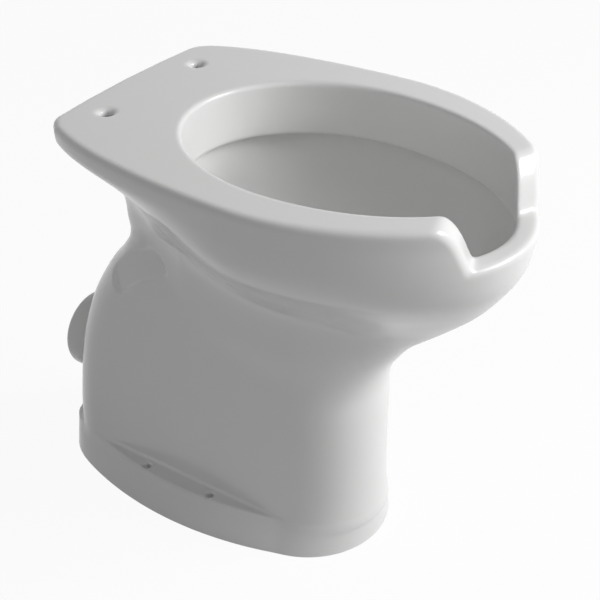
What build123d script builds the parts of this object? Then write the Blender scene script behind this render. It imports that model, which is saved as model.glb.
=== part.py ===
from build123d import *
from math import radians, cos, sin
import os

# Raised accessible toilet pan with an open front, in vitreous china.
# Frame: the front faces -Y, +Z is up, X = 0 is the plane of symmetry, and the floor is Z = 0.
# All sizes are in millimetres.

# Driving dimensions: the whole pan
rim_height = 500.0
rim_half_width = 180.0
rim_widest_y = -65.0
front_tip_y = -296.0
deck_back_y = 207.0
outlet_end_y = 296.0
china_wall = 11.0

# Rim, deck and the roll along their outer edge
deck_half_width = 123.5
deck_corner_y = 201.0
deck_corner_radius = 14.0
deck_plate = 13.0
roll_height = 20.0
roll_radius = 9.0
roll_overhang = 6.0
fascia_wall = 10.0
fascia_drop = 70.0
deck_fascia_drop = 40.0
deck_fascia_front_y = 100.0

# Seat opening and its skirt: the rim is this wide at the sides and in front
rim_side_width = 47.5
rim_front_width = 25.5
opening_widest_y = -71.0
opening_back_y = 94.0
opening_edge_radius = 5.0
skirt_wall = 9.0
skirt_drop = 57.0

# Open front notch: half-widths, and distances back from the front tip
notch_depth = 52.0
notch_top_inner = (70.0, 59.0)
notch_top_outer = (114.0, 47.0)
notch_floor_inner = (55.0, 45.0)
notch_floor_outer = (73.0, 25.0)
notch_reach = 63.0
solid_front_reach = 82.0
lip_height = 10.0

# Seat-hinge holes
seat_hole_spacing = 155.0
seat_hole_y = 163.0
seat_hole_radius = 7.0
seat_hole_mouth_radius = 11.0

# Flush channel
channel_floor = 6.0
wash_hole_radius = 3.5
wash_hole_pitch = 24.0
wash_hole_inset = 6.0
stop_wall = 8.0

# Bowl and sump
bowl_side_inset = 23.0
bowl_front_inset = 20.0
bowl_back_overhang = 15.0
sump_half_width = 50.0
sump_front_y = -38.0
sump_back_y = -6.0
sump_bottom = 113.0
sump_joint = 236.0
chamber_front_y = 20.0

# Trapway: passage radius, wall, bends and slopes
passage_radius = 36.0
passage_wall = 9.0
passage_rise = 1.5
entry_y = 4.0
bend_radius = 47.0
fall_bend_radius = 60.0
riser_angle = 70.0
fall_angle = 65.0
weir_drop = 260.0

# Outlet spigot
outlet_height = 133.0
outlet_radius = 50.0
outlet_bore = 41.0
outlet_root_y = 254.0
outlet_collar_radius = 52.0
outlet_collar_end_y = 277.0

# Pedestal
pedestal_half_width = 80.0
pedestal_nose_y = -57.5
pedestal_back_y = 284.0
pedestal_top_drop = 170.0
pedestal_roof = 8.0
keel_front_inset = 39.0
pocket_y = 141.0
pocket_drop = 189.0
pocket_half_length = 46.0
pocket_half_height = 17.0
pocket_tilt = 33.0
pocket_depth = 5.0

# Foot: how far its ledge and its floor edge reach beyond the pedestal's sides
ledge_height = 41.0
ledge_plate = 12.0
ledge_reach = 26.0
foot_reach = 47.5
foot_widest_y = 83.0
floor_hole_radius = 5.0
floor_hole_reach = 15.0
floor_hole_y = 84.5
floor_hole_spacing = 97.0

# Neck and flush inlet
neck_half_width = 50.0
neck_back_y = 174.0
inlet_drop = 108.0
inlet_bore = 27.5
inlet_radius = 36.0
inlet_start_y = 158.0
inlet_end_y = 186.0
divider_wall = 8.0
divider_back_y = 148.0

joint_gap = 0.3

# Worked out from the driving dimensions
fascia_bottom = rim_height - fascia_drop
deck_fascia_bottom = rim_height - deck_fascia_drop
skirt_bottom = rim_height - skirt_drop
notch_floor = rim_height - notch_depth
channel_top = rim_height - deck_plate
opening_half_width = rim_half_width - rim_side_width
opening_front_y = front_tip_y + rim_front_width
solid_front_y = front_tip_y + solid_front_reach
passage_outer = passage_radius + passage_wall
entry_height = sump_bottom + passage_rise + passage_radius
crown_height = rim_height - weir_drop + passage_radius
pedestal_top = rim_height - pedestal_top_drop
pedestal_nose_tip_y = pedestal_nose_y - pedestal_half_width
keel_tip_y = front_tip_y + keel_front_inset
inlet_height = rim_height - inlet_drop


def mirrored_face(plane, half_edges):
    """A face from the +X half of a symmetric outline, whose points run from front to back."""
    with BuildSketch(plane) as section:
        with BuildLine():
            for points in half_edges:
                Bezier(*points)
                Bezier(*[(-x, y) for x, y in points])
        make_face()
    return section.sketch


def rim_outline(height, inset=0.0):
    """The rim seen from above: a blunt egg in front and a narrowing deck behind."""
    half_width = rim_half_width - inset
    front_y = front_tip_y + inset
    corner = (deck_half_width - inset, deck_corner_y - inset)
    front_handle = 0.44 * (rim_widest_y - front_y)
    with BuildSketch(Plane.XY.offset(height)) as section:
        with BuildLine():
            ThreePointArc((-corner[0], corner[1]), (0, deck_back_y - inset), corner)
            for side in (-1, 1):
                Bezier(
                    (side * corner[0], corner[1]),
                    (side * (corner[0] + 49), corner[1] - 59),
                    (side * half_width, rim_widest_y + 40),
                    (side * half_width, rim_widest_y),
                )
                Bezier(
                    (side * half_width, rim_widest_y),
                    (side * half_width, rim_widest_y - front_handle),
                    (side * 0.588 * half_width, front_y),
                    (0, front_y),
                )
        make_face()
        corners = section.vertices().filter_by(lambda v: v.Y > corner[1] - 1)
        fillet(corners, deck_corner_radius)
    return section.sketch


def opening_outline(height, grow=0.0):
    """The seat opening: half an ellipse behind and a fuller curve in front."""
    half_width = opening_half_width + grow
    front_y = opening_front_y - grow
    back_y = opening_back_y + grow
    front_handle = 0.507 * (opening_widest_y - front_y)
    back_handle = 0.5523 * (back_y - opening_widest_y)
    return mirrored_face(
        Plane.XY.offset(height),
        [
            [
                (0, front_y),
                (0.578 * half_width, front_y),
                (half_width, opening_widest_y - front_handle),
                (half_width, opening_widest_y),
            ],
            [
                (half_width, opening_widest_y),
                (half_width, opening_widest_y + back_handle),
                (0.5523 * half_width, back_y),
                (0, back_y),
            ],
        ],
    )


def egg(height, half_width, front_y, back_y, widest_y):
    """A level section of the bowl: blunter in front than behind."""
    front_handle = 0.5 * (widest_y - front_y)
    back_handle = 0.5523 * (back_y - widest_y)
    return mirrored_face(
        Plane.XY.offset(height),
        [
            [
                (0, front_y),
                (0.58 * half_width, front_y),
                (half_width, widest_y - front_handle),
                (half_width, widest_y),
            ],
            [
                (half_width, widest_y),
                (half_width, widest_y + back_handle),
                (0.5523 * half_width, back_y),
                (0, back_y),
            ],
        ],
    )


def deck_section(height, half_width, front_y, back_half_width, back_y, back_handle):
    """A level section of the outside under the rim: egg in front, squared off behind."""
    front_handle = 0.44 * (rim_widest_y - front_y)
    with BuildSketch(Plane.XY.offset(height)) as section:
        with BuildLine():
            Line((-back_half_width, back_y), (back_half_width, back_y))
            for side in (-1, 1):
                Bezier(
                    (side * back_half_width, back_y),
                    (side * back_handle[0], back_handle[1]),
                    (side * half_width, rim_widest_y + 60),
                    (side * half_width, rim_widest_y),
                )
                Bezier(
                    (side * half_width, rim_widest_y),
                    (side * half_width, rim_widest_y - front_handle),
                    (side * 0.588 * half_width, front_y),
                    (0, front_y),
                )
        make_face()
    return section.sketch


def column_section(height, nose_tip_y, back_y, corner, inset=0.0):
    """A level section of the pedestal: egg nose, flat sides and rounded back corners."""
    half_width = pedestal_half_width - inset
    nose_tip_y = nose_tip_y + inset
    back_y = back_y - inset
    corner = corner - inset
    nose_handle = 0.5 * (pedestal_nose_y - nose_tip_y)
    with BuildSketch(Plane.XY.offset(height)) as section:
        with BuildLine():
            Line((-half_width + corner, back_y), (half_width - corner, back_y))
            for side in (-1, 1):
                Bezier(
                    (0, nose_tip_y),
                    (side * 0.57 * half_width, nose_tip_y),
                    (side * half_width, pedestal_nose_y - nose_handle),
                    (side * half_width, pedestal_nose_y),
                )
                Line((side * half_width, pedestal_nose_y), (side * half_width, back_y - corner))
                RadiusArc(
                    (side * half_width, back_y - corner),
                    (side * (half_width - corner), back_y),
                    side * -corner,
                )
        make_face()
    return section.sketch


def foot_section(height, nose, side_bulge, corner, back, inset=0.0):
    """A level section of the foot: each point is the end or the middle of an arc on the +X side."""
    with BuildSketch(Plane.XY.offset(height)) as section:
        with BuildLine():
            ThreePointArc((-nose[0], nose[1]), (0, nose[2]), (nose[0], nose[1]))
            Line((-back[0], back[1]), (back[0], back[1]))
            middle = (
                back[0] + 0.707 * (corner[0] - back[0]),
                corner[1] + 0.707 * (back[1] - corner[1]),
            )
            for side in (-1, 1):
                ThreePointArc(
                    (side * nose[0], nose[1]),
                    (side * side_bulge[0], side_bulge[1]),
                    (side * corner[0], corner[1]),
                )
                ThreePointArc(
                    (side * corner[0], corner[1]),
                    (side * middle[0], middle[1]),
                    (side * back[0], back[1]),
                )
        make_face()
        if inset:
            offset(amount=-inset)
    return section.sketch


def box_between(low, high):
    """A block between two corners, outside any builder."""
    size = [b - a for a, b in zip(low, high)]
    center = [(a + b) / 2 for a, b in zip(low, high)]
    return Location(center) * Box(*size, mode=Mode.PRIVATE)


# The notch cutter: a smooth shoulder that starts further out at the outer edge of the rim
def notch_half_width(y, inner, outer):
    """Half-width on the line through two points, given as half-width and distance from the tip."""
    slope = (outer[0] - inner[0]) / (inner[1] - outer[1])
    return inner[0] + slope * (front_tip_y + inner[1] - y)


def notch_section(y, clearance=10.0):
    """The cut seen from the front at one distance from the back."""
    top = notch_half_width(y, notch_top_inner, notch_top_outer)
    floor = notch_half_width(y, notch_floor_inner, notch_floor_outer)
    with BuildSketch(Plane.XZ.offset(-y)) as section:
        with BuildLine():
            Line((-floor, notch_floor), (floor, notch_floor))
            Line((-top, rim_height + clearance), (top, rim_height + clearance))
            for side in (-1, 1):
                Bezier(
                    (side * top, rim_height),
                    (side * (floor + 0.45 * (top - floor)), rim_height),
                    (side * (floor + 0.3 * (top - floor)), notch_floor),
                    (side * floor, notch_floor),
                )
                Line((side * top, rim_height), (side * top, rim_height + clearance))
        make_face()
    return section.sketch


with BuildPart() as notch_cutter:
    loft(sections=[notch_section(front_tip_y + notch_reach), notch_section(front_tip_y - 4)], ruled=True)

# The outside of the bowl, neck and deck underside, in even steps from the deck fascia down.
# Each row: how far it has flared from the pedestal to the rim, its inset at the front, how far
# its back has spread from the neck to the deck in width and in depth, and its back handle
outside_rows = [
    (0.94, 6, 1.0, 1.0, (44, 132)),
    (0.91, 6, 0.4, 0.64, (44, 118)),
    (0.77, 10, 0.03, 0.09, (24, 106)),
    (0.56, 15, 0.0, 0.0, (10, 96)),
    (0.29, 24, 0.0, 0.0, (4, 90)),
    (-0.01, keel_front_inset, 0.0, 0.0, (2, 88)),
]
deck_underside_half_width = deck_half_width - 7.5
deck_underside_back_y = deck_back_y - 11


def outside_form(inset):
    """The solid inside the outline rows, each drawn in by the inset."""
    step = (deck_fascia_bottom - pedestal_top) / (len(outside_rows) - 1)
    sections = []
    for row, (flare, front_inset, spread, depth, handle) in enumerate(outside_rows):
        half_width = pedestal_half_width + flare * (rim_half_width - pedestal_half_width)
        back_half_width = neck_half_width + spread * (deck_underside_half_width - neck_half_width)
        back_y = neck_back_y + depth * (deck_underside_back_y - neck_back_y)
        sections.append(
            deck_section(
                deck_fascia_bottom - row * step,
                half_width - inset,
                front_tip_y + front_inset + inset,
                back_half_width - inset,
                back_y - inset,
                (back_half_width + handle[0] - inset, handle[1] - inset),
            )
        )
    with BuildPart() as form:
        loft(sections=sections)
    return form.part


# The basin, in even steps from under the rim down to the bottom of the sump.
# Each row: shares of the way from the sump to the bowl's top in width, at the front and behind
basin_rows = [
    (1.0, 1.0, 1.0),
    (0.83, 0.98, 0.974),
    (0.58, 0.95, 0.94),
    (0.30, 0.88, 0.852),
    (0.09, 0.76, 0.591),
    (0.04, 0.655, 0.348),
    (0.02, 0.53, 0.226),
    (0.0, 0.403, 0.122),
    (-0.02, 0.252, 0.052),
    (-0.05, 0.143, 0.035),
    (-0.08, 0.059, 0.035),
    (-0.17, 0.0, 0.0),
]


def basin_form(grow):
    """The inside of the bowl, or the same form one wall larger."""
    top_half_width = rim_half_width - bowl_side_inset
    top_front_y = front_tip_y + bowl_front_inset
    top_back_y = opening_back_y + bowl_back_overhang
    last = len(basin_rows) - 1
    sections = []
    for row, (width, front, back) in enumerate(basin_rows):
        height = fascia_bottom - (fascia_bottom - sump_bottom) * row / last
        half_width = sump_half_width + width * (top_half_width - sump_half_width)
        front_y = sump_front_y + front * (top_front_y - sump_front_y)
        back_y = sump_back_y + back * (top_back_y - sump_back_y)
        sections.append(
            egg(
                height - (grow if row == last else 0),
                half_width + grow,
                front_y - grow,
                back_y + grow,
                max(rim_widest_y, (front_y + back_y) / 2),
            )
        )
    with BuildPart() as form:
        loft(sections=sections, ruled=True)
    return form.part


# The pedestal, in even steps from its roof down to the foot.
# Each row: how far its nose has run forward under the bowl, and its inset from the back edge
column_rows = [
    (1.0, 110, 40),
    (0.70, 74, 42),
    (0.34, 50, 44),
    (0.0, 36, 44),
    (0.0, 26, 44),
    (0.0, 20, 44),
    (0.0, 9, 43),
    (0.0, 0, 40),
]


def column_form(inset, top):
    """The solid inside the pedestal's outline rows, each drawn in by the inset."""
    last = len(column_rows) - 1
    sections = []
    for row, (keel, back_inset, corner) in enumerate(column_rows):
        nose_tip_y = pedestal_nose_tip_y + keel * (keel_tip_y - pedestal_nose_tip_y)
        sections.append(
            column_section(
                top - (top - ledge_height) * row / last,
                nose_tip_y,
                pedestal_back_y - back_inset,
                corner,
                inset,
            )
        )
    with BuildPart() as form:
        loft(sections=sections, ruled=True)
    return form.part


def passage(radius, start, end):
    """The trapway tube of one radius between two stations of its path in the plane X = 0."""
    riser = radians(riser_angle)
    fall = radians(fall_angle)
    riser_start = (entry_y, entry_height)
    riser_bend_end = (
        entry_y + bend_radius * sin(riser),
        entry_height + bend_radius * (1 - cos(riser)),
    )
    crown_start_height = crown_height - bend_radius * (1 - cos(riser))
    rise = (crown_start_height - riser_bend_end[1]) / sin(riser)
    crown_start = (riser_bend_end[0] + rise * cos(riser), crown_start_height)
    crown = (crown_start[0] + bend_radius * sin(riser), crown_height)
    crown_end = (
        crown[0] + bend_radius * sin(fall),
        crown_height - bend_radius * (1 - cos(fall)),
    )
    fall_bend_top = outlet_height + fall_bend_radius * (1 - cos(fall))
    drop = (crown_end[1] - fall_bend_top) / sin(fall)
    fall_start = (crown_end[0] + drop * cos(fall), fall_bend_top)
    fall_end = (fall_start[0] + fall_bend_radius * sin(fall), outlet_height)
    with BuildPart() as tube:
        with BuildLine(Plane.YZ) as path:
            if start == "sump":
                Line((entry_y - 20, entry_height), riser_start)
                JernArc(riser_start, (1, 0), bend_radius, riser_angle)
                Line(riser_bend_end, crown_start)
                JernArc(crown_start, (cos(riser), sin(riser)), bend_radius, -riser_angle)
            else:
                JernArc(crown, (1, 0), bend_radius, -fall_angle)
                Line(crown_end, fall_start)
                JernArc(fall_start, (cos(fall), -sin(fall)), fall_bend_radius, fall_angle)
                Line(fall_end, (end, outlet_height))
        with BuildSketch(Plane(origin=path.line @ 0, z_dir=path.line % 0)):
            Circle(radius)
        sweep()
    return tube.part


def bar_along_y(radius, start_y, end_y, height):
    """A round bar in the plane X = 0."""
    with BuildPart() as bar:
        with BuildSketch(Plane(origin=(0, start_y, height), z_dir=(0, 1, 0))):
            Circle(radius)
        extrude(amount=end_y - start_y)
    return bar.part


outside = outside_form(0)
inside = outside_form(china_wall)
basin_inside = basin_form(0)
basin_outside = basin_form(china_wall)
riser_inside = passage(passage_radius, "sump", None)
riser_outside = passage(passage_outer, "sump", None)
fall_inside = passage(passage_radius, "crown", outlet_root_y)
fall_outside = passage(passage_outer, "crown", outlet_root_y)

# The low front of the rim keeps a lip as far out as the roll
with BuildPart() as front_lip:
    extrude(rim_outline(notch_floor), amount=-lip_height)
    add(
        box_between((-rim_half_width, solid_front_y, 0), (rim_half_width, deck_back_y, rim_height)),
        mode=Mode.SUBTRACT,
    )

# Rim ring: roll, fascia, deck plate and skirt in one casting
with BuildPart() as rim_ring:
    extrude(rim_outline(rim_height), amount=-roll_height)
    fillet(rim_ring.faces().sort_by(Axis.Z)[-1].edges(), roll_radius)
    fascia_top = rim_height - roll_height
    extrude(rim_outline(fascia_top, roll_overhang), amount=fascia_bottom - fascia_top)
    add(front_lip.part)
    extrude(opening_outline(rim_height), amount=-fascia_drop, mode=Mode.SUBTRACT)
    opening_edges = rim_ring.faces().sort_by(Axis.Z)[-1].inner_wires()[0].edges()
    fillet(opening_edges, opening_edge_radius)

    # the flush channel: open below, closed by the deck plate above, and solid in front
    with BuildSketch(Plane.XY.offset(fascia_bottom)) as channel_plan:
        add(rim_outline(0, roll_overhang + fascia_wall))
        add(opening_outline(0, skirt_wall), mode=Mode.SUBTRACT)
        with Locations((0, solid_front_y - rim_half_width)):
            Rectangle(2 * rim_half_width, 2 * rim_half_width, mode=Mode.SUBTRACT)
    extrude(channel_plan.sketch, amount=channel_top - fascia_bottom, mode=Mode.SUBTRACT)

    # the skirt stops short of the fascia, and the fascia is shallower round the deck
    with BuildSketch(Plane.XY.offset(fascia_bottom)) as skirt_plan:
        add(opening_outline(0, skirt_wall))
        with Locations((0, solid_front_y - rim_half_width)):
            Rectangle(2 * rim_half_width, 2 * rim_half_width, mode=Mode.SUBTRACT)
    extrude(skirt_plan.sketch, amount=skirt_bottom - fascia_bottom, mode=Mode.SUBTRACT)
    add(
        box_between(
            (-rim_half_width, deck_fascia_front_y, fascia_bottom),
            (rim_half_width, deck_back_y, deck_fascia_bottom),
        ),
        mode=Mode.SUBTRACT,
    )
    add(notch_cutter.part, mode=Mode.SUBTRACT)

    # countersunk holes for the seat hinges
    with Locations(
        (-seat_hole_spacing / 2, seat_hole_y, rim_height),
        (seat_hole_spacing / 2, seat_hole_y, rim_height),
    ):
        CounterSinkHole(seat_hole_radius, seat_hole_mouth_radius, depth=deck_plate)
rim_ring.part.label = "rim_ring"

# Plate under the flush channel, with a row of wash holes beside the skirt
wash_line = opening_outline(0, skirt_wall + wash_hole_inset).face().outer_wire()
wash_count = round(wash_line.length / wash_hole_pitch)
wash_spots = [wash_line @ (station / wash_count) for station in range(wash_count)]
wash_spots = [
    (spot.X, spot.Y, skirt_bottom)
    for spot in wash_spots
    if solid_front_y + 2 * stop_wall < spot.Y < deck_fascia_front_y - 2 * wash_hole_radius
]
with BuildPart() as rim_channel_floor:
    with BuildSketch(Plane.XY.offset(skirt_bottom - channel_floor)) as floor_plan:
        add(rim_outline(0, roll_overhang + fascia_wall))
        add(opening_outline(0), mode=Mode.SUBTRACT)
        with Locations((0, solid_front_y - rim_half_width), (0, deck_fascia_front_y + rim_half_width)):
            Rectangle(2 * rim_half_width, 2 * rim_half_width, mode=Mode.SUBTRACT)
    extrude(floor_plan.sketch, amount=channel_floor)
    with Locations(*wash_spots):
        Hole(wash_hole_radius, depth=channel_floor)
rim_channel_floor.part.label = "rim_channel_floor"

# Two walls that end the channel beside the notch
with BuildPart() as channel_stops:
    with BuildSketch(Plane.XY.offset(skirt_bottom)) as stop_plan:
        add(rim_outline(0, roll_overhang + fascia_wall))
        add(opening_outline(0, skirt_wall), mode=Mode.SUBTRACT)
        with Locations((0, solid_front_y + stop_wall / 2)):
            Rectangle(2 * rim_half_width, stop_wall, mode=Mode.INTERSECT)
    extrude(stop_plan.sketch, amount=channel_top - skirt_bottom)
channel_stops.part.label = "channel_stops"

# Bowl casting, whole: solid between basin and outside in front, hollow beside the basin's back
front_half = box_between(
    (-rim_half_width, front_tip_y, 0), (rim_half_width, deck_fascia_front_y, fascia_bottom)
)
side_chamber = box_between(
    (-rim_half_width, chamber_front_y, 0), (rim_half_width, deck_back_y, rim_height)
)
with BuildPart() as chamber:
    add(inside)
    add(side_chamber, mode=Mode.INTERSECT)
with BuildPart() as bowl_casting:
    add(outside)
    add(chamber.part, mode=Mode.SUBTRACT)
    add(front_half, mode=Mode.INTERSECT)
    add(basin_outside)
    add(basin_inside, mode=Mode.SUBTRACT)

# Bowl above the sump joint, and the sump well below it, bored for the trapway
below_joint = box_between((-rim_half_width, front_tip_y, 0), (rim_half_width, deck_back_y, sump_joint))
with BuildPart() as bowl_basin:
    add(bowl_casting.part)
    add(below_joint, mode=Mode.SUBTRACT)
bowl_basin.part.label = "bowl_basin"
with BuildPart() as sump_well:
    add(bowl_casting.part)
    add(below_joint, mode=Mode.INTERSECT)
    add(riser_inside, mode=Mode.SUBTRACT)
sump_well.part.label = "sump_well"

# Neck and deck underside behind the bowl, with the hole for the inlet socket
back_half = box_between(
    (-rim_half_width, deck_fascia_front_y, 0), (rim_half_width, deck_back_y, rim_height)
)
with BuildPart() as rear_housing:
    add(outside)
    add(inside, mode=Mode.SUBTRACT)
    add(back_half, mode=Mode.INTERSECT)
    add(basin_outside, mode=Mode.SUBTRACT)
    add(
        bar_along_y(inlet_radius + joint_gap, inlet_start_y, deck_back_y, inlet_height),
        mode=Mode.SUBTRACT,
    )
rear_housing.part.label = "rear_housing"

# Socket for the flush pipe, and the wall that splits its water to both sides of the rim
with BuildPart() as flush_inlet_socket:
    add(bar_along_y(inlet_radius, inlet_start_y, inlet_end_y, inlet_height))
    add(bar_along_y(inlet_bore, inlet_start_y, inlet_end_y, inlet_height), mode=Mode.SUBTRACT)
flush_inlet_socket.part.label = "flush_inlet_socket"
with BuildPart() as flush_divider:
    add(
        box_between(
            (-divider_wall / 2, deck_fascia_front_y, pedestal_top),
            (divider_wall / 2, divider_back_y, fascia_bottom),
        )
    )
    add(basin_outside, mode=Mode.SUBTRACT)
flush_divider.part.label = "flush_divider"

# Pedestal: a hollow column whose front runs forward under the bowl as a keel
with BuildPart() as pocket_cutter:
    for side in (-1, 1):
        wall_x = side * (pedestal_half_width - pocket_depth)
        wall = Plane(
            origin=(wall_x, pocket_y, rim_height - pocket_drop), x_dir=(0, 1, 0), z_dir=(side, 0, 0)
        )
        with BuildSketch(wall):
            SlotOverall(2 * pocket_half_length, 2 * pocket_half_height, rotation=-side * pocket_tilt)
        extrude(amount=2 * pocket_depth)
with BuildPart() as pedestal:
    add(column_form(0, pedestal_top))
    add(column_form(china_wall, pedestal_top - pedestal_roof), mode=Mode.SUBTRACT)
    add(basin_outside, mode=Mode.SUBTRACT)
    add(
        bar_along_y(outlet_collar_radius + joint_gap, pedestal_nose_y, outlet_end_y, outlet_height),
        mode=Mode.SUBTRACT,
    )
    add(pocket_cutter.part, mode=Mode.SUBTRACT)
pedestal.part.label = "pedestal"


def foot_outline(height, share, inset=0.0):
    """A level section of the foot: share 0 is its ledge and 1 its edge on the floor."""
    return foot_section(
        height,
        nose=(
            pedestal_half_width + 3 + 17 * share,
            pedestal_nose_y - 2,
            pedestal_nose_tip_y - 3.5 - 2.7 * share,
        ),
        side_bulge=(
            pedestal_half_width + ledge_reach + share * (foot_reach - ledge_reach),
            foot_widest_y,
        ),
        corner=(pedestal_half_width + 3 + 15 * share, pedestal_back_y - 60 + 16 * share),
        back=(45 + 10 * share, pedestal_back_y + 3 * share),
        inset=inset,
    )


# Foot: a skirt that flares to the floor, under a ledge that carries the pedestal and the screws
with BuildPart() as foot_ring:
    loft(sections=[foot_outline(0, 1), foot_outline(ledge_height, 0)])
    loft(
        sections=[
            foot_outline(0, 1, china_wall),
            foot_outline(ledge_height - ledge_plate, ledge_plate / ledge_height, china_wall),
        ],
        mode=Mode.SUBTRACT,
    )
    extrude(
        column_section(ledge_height, pedestal_nose_tip_y, pedestal_back_y, 40, china_wall),
        amount=-ledge_plate,
        mode=Mode.SUBTRACT,
    )
    with Locations((0, floor_hole_y, ledge_height)):
        with GridLocations(2 * (pedestal_half_width + floor_hole_reach), floor_hole_spacing, 2, 2):
            Hole(floor_hole_radius, depth=ledge_plate)
foot_ring.part.label = "foot_ring"

# Trapway: the riser from the sump to the crown, and the fall from the crown to the outlet
with BuildPart() as trapway_riser:
    add(riser_outside)
    add(riser_inside, mode=Mode.SUBTRACT)
    add(basin_outside, mode=Mode.SUBTRACT)
trapway_riser.part.label = "trapway_riser"
with BuildPart() as trapway_fall:
    add(fall_outside)
    add(fall_inside, mode=Mode.SUBTRACT)
trapway_fall.part.label = "trapway_fall"

# Outlet spigot: a collar in the pedestal's wall, and a mouth a little wider than the passage
with BuildPart() as outlet_spigot:
    add(bar_along_y(outlet_collar_radius, outlet_root_y, outlet_collar_end_y, outlet_height))
    add(bar_along_y(outlet_radius, outlet_collar_end_y, outlet_end_y, outlet_height))
    with BuildSketch(Plane(origin=(0, outlet_root_y, outlet_height), z_dir=(0, 1, 0))) as bore_root:
        Circle(passage_radius)
    with BuildSketch(Plane(origin=(0, outlet_end_y, outlet_height), z_dir=(0, 1, 0))) as bore_mouth:
        Circle(outlet_bore)
    loft(sections=[bore_root.sketch, bore_mouth.sketch], mode=Mode.SUBTRACT)
outlet_spigot.part.label = "outlet_spigot"

os.makedirs("parts", exist_ok=True)
export_step(rim_ring.part, "parts/rim_ring.step")
export_step(rim_channel_floor.part, "parts/rim_channel_floor.step")
export_step(channel_stops.part, "parts/channel_stops.step")
export_step(bowl_basin.part, "parts/bowl_basin.step")
export_step(sump_well.part, "parts/sump_well.step")
export_step(rear_housing.part, "parts/rear_housing.step")
export_step(flush_inlet_socket.part, "parts/flush_inlet_socket.step")
export_step(flush_divider.part, "parts/flush_divider.step")
export_step(pedestal.part, "parts/pedestal.step")
export_step(foot_ring.part, "parts/foot_ring.step")
export_step(trapway_riser.part, "parts/trapway_riser.step")
export_step(trapway_fall.part, "parts/trapway_fall.step")
export_step(outlet_spigot.part, "parts/outlet_spigot.step")
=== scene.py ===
import math

import bmesh
import bpy
import numpy as np
import openvdb as vdb
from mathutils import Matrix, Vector, geometry


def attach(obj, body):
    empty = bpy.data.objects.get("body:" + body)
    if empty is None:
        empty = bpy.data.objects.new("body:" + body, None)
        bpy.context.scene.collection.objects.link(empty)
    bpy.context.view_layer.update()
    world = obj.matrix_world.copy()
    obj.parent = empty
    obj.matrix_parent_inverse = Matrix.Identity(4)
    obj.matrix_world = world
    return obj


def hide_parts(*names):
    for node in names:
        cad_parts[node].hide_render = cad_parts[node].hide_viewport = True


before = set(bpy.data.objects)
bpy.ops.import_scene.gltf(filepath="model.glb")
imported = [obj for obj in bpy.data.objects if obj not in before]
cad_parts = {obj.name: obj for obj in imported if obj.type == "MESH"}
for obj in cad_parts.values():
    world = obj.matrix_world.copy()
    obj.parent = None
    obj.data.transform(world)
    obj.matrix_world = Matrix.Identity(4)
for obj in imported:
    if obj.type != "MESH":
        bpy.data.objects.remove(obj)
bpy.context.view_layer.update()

# The camera stands where the photograph's did: angles in degrees, lengths in metres
CAMERA_AZIMUTH = -56.2
CAMERA_ELEVATION = 33.2
CAMERA_DISTANCE = 1.441
CAMERA_TARGET = Vector((0.0, -0.0414, 0.2953))
CAMERA_LENS = 78.0
CAMERA_SHIFT_X = -0.0135


def make_camera():
    data = bpy.data.cameras.new("camera")
    data.lens = CAMERA_LENS
    data.sensor_width = 36.0
    data.shift_x = CAMERA_SHIFT_X
    camera = bpy.data.objects.new("camera", data)
    azimuth = math.radians(CAMERA_AZIMUTH)
    elevation = math.radians(CAMERA_ELEVATION)
    back = Vector((
        math.sin(azimuth) * math.cos(elevation),
        -math.cos(azimuth) * math.cos(elevation),
        math.sin(elevation),
    ))
    camera.location = CAMERA_TARGET + back * CAMERA_DISTANCE
    camera.rotation_mode = "QUATERNION"
    camera.rotation_quaternion = (-back).to_track_quat("-Z", "Y")
    bpy.context.scene.collection.objects.link(camera)
    bpy.context.scene.camera = camera


make_camera()

# Fields: the china is described in millimetres by distance fields on a grid of the half x >= 0,
# negative inside the china, and the other half is its mirror image
VOXEL = 2.5
HEIGHT_SMOOTHING = 8
X_LINE = np.arange(0.0, 188.0, VOXEL, dtype=np.float32)
Y_LINE = np.arange(-305.0, 304.0, VOXEL, dtype=np.float32)
Z_LINE = np.arange(-7.5, 511.0, VOXEL, dtype=np.float32)
X, Y = np.meshgrid(X_LINE, Y_LINE, indexing="ij")
Z = Z_LINE[None, None, :]

# Main sizes, as in the frame: front -Y, floor at 0, symmetric about x = 0
TOP = 500.0
WIDEST_Y = -65.0
HALF_WIDTH = 180.0
TIP_Y = -296.0
DECK_CORNER = (123.5, 201.0)
DECK_BACK_Y = 207.0
WALL = 11.0


def bezier(points, count=24):
    """Points along a cubic Bezier curve."""
    t = np.linspace(0, 1, count)[:, None]
    a, b, c, d = (np.array(p, float) for p in points)
    return (1 - t) ** 3 * a + 3 * (1 - t) ** 2 * t * b + 3 * (1 - t) * t ** 2 * c + t ** 3 * d


def rounded_corner(before, corner, after, radius):
    """Points that replace a corner by an arc-like curve."""
    before, corner, after = (np.array(p, float) for p in (before, corner, after))
    start = corner + (before - corner) / np.linalg.norm(before - corner) * radius
    end = corner + (after - corner) / np.linalg.norm(after - corner) * radius
    return bezier([start, corner + (start - corner) * 0.45, corner + (end - corner) * 0.45, end], 10)


def dense(points, step=1.5):
    """The same outline with extra points on its long runs."""
    runs = []
    for start, end in zip(points[:-1], points[1:]):
        count = max(int(math.hypot(*(end - start)) / step), 1)
        runs.append(start + (end - start) * (np.arange(count) / count)[:, None])
    return np.vstack(runs + [points[-1:]])


def polar_radius(points, center_y):
    """Radius of a half outline about (0, center_y), at even angles from the front to the back."""
    points = dense(points)
    angle = np.arctan2(points[:, 0], -(points[:, 1] - center_y))
    radius = np.hypot(points[:, 0], points[:, 1] - center_y)
    order = np.argsort(angle)
    return np.interp(POLAR_ANGLES, angle[order], radius[order])


POLAR_ANGLES = np.linspace(0, math.pi, 361)


def rounded(table, reach):
    """A polar table averaged over so many steps to each side."""
    weights = np.hanning(2 * reach + 1)
    return np.convolve(np.pad(table, reach, mode="reflect"), weights / weights.sum(), mode="valid")


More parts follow.
